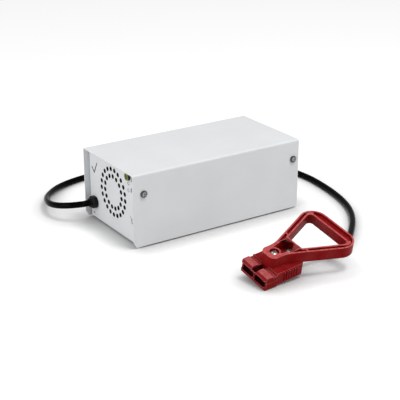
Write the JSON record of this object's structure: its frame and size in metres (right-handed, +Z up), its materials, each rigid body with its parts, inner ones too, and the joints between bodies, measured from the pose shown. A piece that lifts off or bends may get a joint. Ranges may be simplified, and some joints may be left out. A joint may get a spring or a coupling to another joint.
{
  "type": "battery charger",
  "caption": "Mains battery charger in a folded sheet-metal case with a fan, an output lead and a battery connector that carries a pull handle.",
  "frame": {"origin": "middle of the case's footprint, on the floor under the rubber feet", "axes": "+X along the case from the fan panel to the mains inlet panel, +Z up, the connector lies at -Y"},
  "size_m": [0.2967, 0.3589, 0.0765],
  "materials": {
    "case_paint": "fine powder coat, light silver grey",
    "zinc_steel": "zinc plated",
    "foot_rubber": "matt",
    "black_plastic": "satin moulding",
    "copper_coil": "enamelled copper",
    "nylon": "natural",
    "lamp_lens": "moulded lens, unlit",
    "cable_black": "smooth sheath",
    "plug_red": "moulded, rubbed paler at the edges",
    "handle_red": "moulded, paler at the rims",
    "silver_plate": "silver plated copper",
    "red_core": "insulated core",
    "black_core": "insulated wire",
    "blue_core": "insulated wire",
    "board_green": "solder mask",
    "ferrite": "sintered",
    "yellow_tape": "polyester tape",
    "capacitor_sleeve": "shrink sleeve",
    "heat_sink_metal": "extruded",
    "fuse_glass": "clear",
    "clip_brass": "plated",
    "terminal_green": "moulded"
  },
  "bodies": {
    "charger": {"cover": "case_paint", "chassis": "case_paint", "cover_screws": "zinc_steel", "feet": "foot_rubber", "fan_frame": "black_plastic", "fan_stator": "copper_coil", "fan_studs": "zinc_steel", "fan_spacers": "nylon", "fan_nuts": "zinc_steel", "indicator_bezel": "black_plastic", "indicator_lamp": "lamp_lens", "strain_relief": "black_plastic", "output_lead": "cable_black", "plug_housing": "plug_red", "plug_contacts": "silver_plate", "contact_springs": "zinc_steel", "plug_cores": "red_core", "handle": "handle_red", "handle_screws": "zinc_steel", "handle_nuts": "zinc_steel", "mains_inlet": "black_plastic", "inlet_pins": "zinc_steel", "inlet_screws": "zinc_steel", "inlet_nuts": "zinc_steel", "circuit_board": "board_green", "board_pillars": "zinc_steel", "board_screws": "zinc_steel", "transformer_core": "ferrite", "transformer_winding": "yellow_tape", "mains_choke": "copper_coil", "mains_capacitor": "capacitor_sleeve", "output_capacitors": "capacitor_sleeve", "heat_sinks": "heat_sink_metal", "power_transistors": "black_plastic", "fuse": "fuse_glass", "fuse_clips": "clip_brass", "output_terminals": "terminal_green", "terminal_screws": "zinc_steel", "lead_cores": "red_core", "mains_wires": "blue_core", "fan_wires": "red_core", "lamp_wires": "black_core"},
    "rotor": {"fan_rotor": "black_plastic"}
  },
  "joints": [
    {"name": "fan_spin", "type": "hinge", "parent": "charger", "child": "rotor", "pos_m": [-0.072, -0.0012, 0.0432], "axis": [1, 0, 0], "continuous": true}
  ]
}
